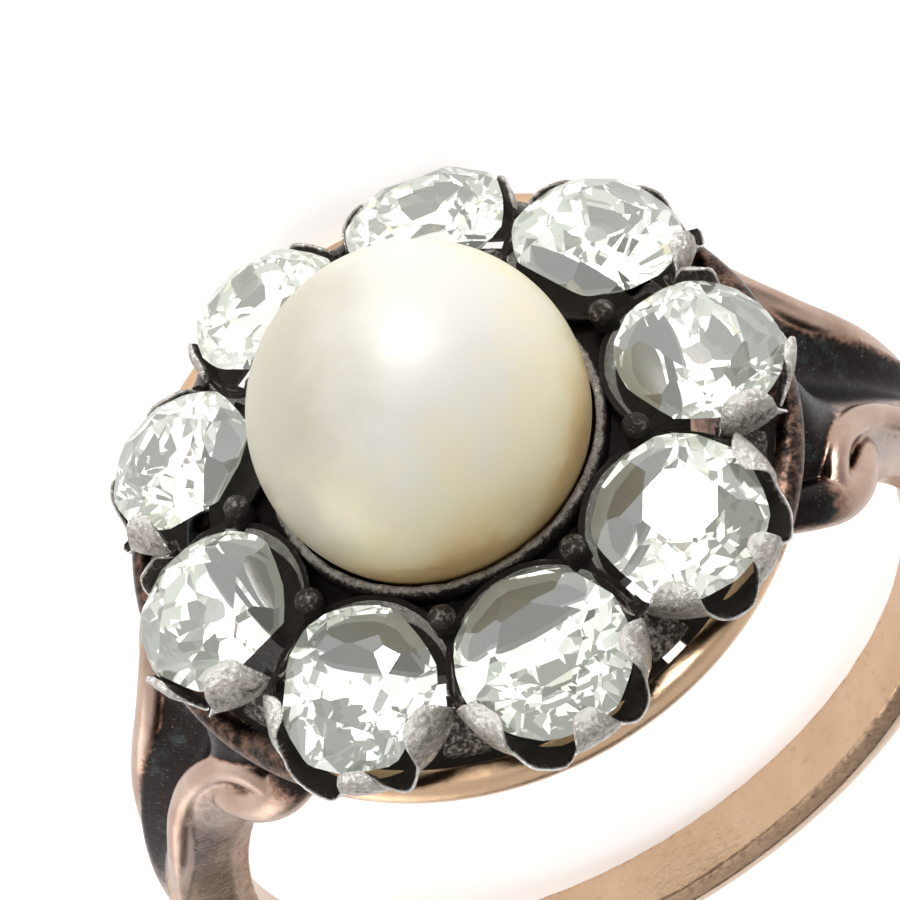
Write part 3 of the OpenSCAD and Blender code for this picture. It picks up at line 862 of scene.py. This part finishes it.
def pearl():
    """A round pearl, ground flat below where it sits, with marks for its height and for the side that
    painted shade darkens.
    """
    ball = bmesh.new()
    bmesh.ops.create_icosphere(ball, subdivisions=6, radius=PEARL_R)
    for v in ball.verts:
        v.co.z = max(v.co.z, SEAT_Z + 0.03 - PEARL_RISE)
    rise = [(v.co.z - COLLAR_TOP + PEARL_RISE) / (PEARL_R - COLLAR_TOP + PEARL_RISE) for v in ball.verts]
    shaded_side = [v.co.normalized().dot(SHADED_SIDE) for v in ball.verts]
    ball.transform(LAID @ Matrix.Translation((0, 0, PEARL_RISE)))
    mesh = bpy.data.meshes.new("button_pearl")
    ball.to_mesh(mesh)
    ball.free()
    mesh.attributes.new("rise", "FLOAT", "POINT").data.foreach_set("value", rise)
    mesh.attributes.new("shaded_side", "FLOAT", "POINT").data.foreach_set("value", shaded_side)
    mesh.shade_smooth()
    mesh.materials.append(nacre())
    made = bpy.data.objects.new("button_pearl", mesh)
    bpy.context.scene.collection.objects.link(made)
    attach(made, "root")
    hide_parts("pearl")


pearl()


# Studio: a plain pale floor of white paper, a small soft light low in front of the pearl and a wide dimmer
# one low beside the head. Bright paper all round gives the soft light, and the gold and the stones
# reflect it.
def floor():
    """A square of white paper under the ring."""
    mesh =bpy.data.meshes.new("studio_floor")
    half = 1.5
    corners = [(-half, -half, 0), (half, -half, 0), (half, half, 0), (-half, half, 0)]
    mesh.from_pydata(corners, [], [(0, 1, 2, 3)])
    paint = Paint("studio_paper", metallic=0.0, roughness=0.9)
    paint.color(paint.blend(paint.noise(0.02), (0.96, 0.96, 0.96), (0.97, 0.97, 0.97)))
    paint.shader.inputs["Emission Color"].default_value = (1, 1, 1, 1)
    paint.shader.inputs["Emission Strength"].default_value = 0.45
    mesh.materials.append(paint.material)
    made = bpy.data.objects.new("studio_floor", mesh)
    bpy.context.scene.collection.objects.link(made)


def softbox(name, azimuth, elevation, distance, width, height, power):
    """A soft light aimed at the ring, placed by azimuth from the front and elevation, in degrees."""
    light = bpy.data.lights.new(name, "AREA")
    light.shape = "RECTANGLE"
    light.size, light.size_y, light.energy = width, height, power
    made = bpy.data.objects.new(name, light)
    bpy.context.scene.collection.objects.link(made)
    a, e = math.radians(azimuth), math.radians(elevation)
    back = Vector((math.sin(a) * math.cos(e), -math.cos(a) * math.cos(e), math.sin(e)))
    middle_of_ring = Vector((0, 0, 0.008))
    made.location = middle_of_ring + back * distance
    made.rotation_euler = back.to_track_quat("Z", "Y").to_euler()


floor()
softbox("low_softbox", -14, 7, 0.20, 0.055, 0.04, 0.20)
softbox("right_softbox", 118, 13, 0.30, 0.26, 0.12, 0.22)


def studio_room():
    """Bright paper in front, dimmer above, with dark patches; seen directly it is plain white."""
    room = bpy.data.worlds.new("studio_room")
    room.use_nodes = True
    nodes, links = room.node_tree.nodes, room.node_tree.links
    paper = nodes["Background"]
    paper.inputs["Color"].default_value = (1, 1, 1, 1)
    around = nodes.new("ShaderNodeTexCoord").outputs["Generated"]

    def falling(direction, near, far, bright, dim):
        """Brightness by the cosine from a direction, from bright at near to dim at far."""
        facing = nodes.new("ShaderNodeVectorMath")
        facing.operation = "DOT_PRODUCT"
        facing.inputs[1].default_value = direction
        links.new(around, facing.inputs[0])
        fall = nodes.new("ShaderNodeMapRange")
        fall.interpolation_type = "SMOOTHSTEP"
        for i, value in enumerate((near, far, bright, dim), start=1):
            fall.inputs[i].default_value = value
        links.new(facing.outputs["Value"], fall.inputs[0])
        return fall.outputs[0]

    def times(a, b):
        made = nodes.new("ShaderNodeMath")
        made.operation = "MULTIPLY"
        links.new(a, made.inputs[0])
        links.new(b, made.inputs[1])
        return made.outputs[0]

    dimmer_above = falling((0, 0.55, 0.83), -0.2, 0.9, 1.0, 0.85)
    black_card = falling((0.05, 0.99, 0.12), 0.80, 0.93, 1.0, 0.06)
    grey_card = falling((-0.75, -0.45, 0.48), 0.86, 0.95, 1.0, 0.5)
    dark_lens = falling((0.02, -0.566, 0.824), 0.955, 0.985, 1.0, 0.08)
    lit = times(times(times(dimmer_above, black_card), grey_card), dark_lens)
    seen = nodes.new("ShaderNodeMix")
    links.new(nodes.new("ShaderNodeLightPath").outputs["Is Camera Ray"], seen.inputs[0])
    links.new(lit, seen.inputs[2])
    white_paper = 0.95
    seen.inputs[3].default_value = white_paper
    links.new(seen.outputs[0], paper.inputs["Strength"])
    bpy.context.scene.world = room


studio_room()
bpy.context.scene.view_settings.view_transform = "Standard"

# Camera: a long lens above the head, as in the photograph, turned so that the band runs off to the lower
# right. Azimuth is from the front and roll is about the line of sight, in degrees; lengths are in metres.
AIM = Vector((-0.00018, -0.00748, 0.00773))
DISTANCE = 0.08923
azimuth, elevation, roll_turn = math.radians(-2.33), math.radians(55.52), math.radians(153.68)
camera_data = bpy.data.cameras.new("camera")
camera_data.lens = 170.7
camera_data.sensor_width = 36
camera_data.clip_start = 0.005
camera = bpy.data.objects.new("camera", camera_data)
bpy.context.scene.collection.objects.link(camera)
level = math.cos(elevation)
back = Vector((math.sin(azimuth) * level, -math.cos(azimuth) * level, math.sin(elevation)))
camera.rotation_mode = "QUATERNION"
rolled = Matrix.Rotation(roll_turn, 4, "Z").to_quaternion()
camera.rotation_quaternion = back.to_track_quat("Z", "Y") @ rolled
camera.location = AIM + back * DISTANCE
bpy.context.scene.camera = camera
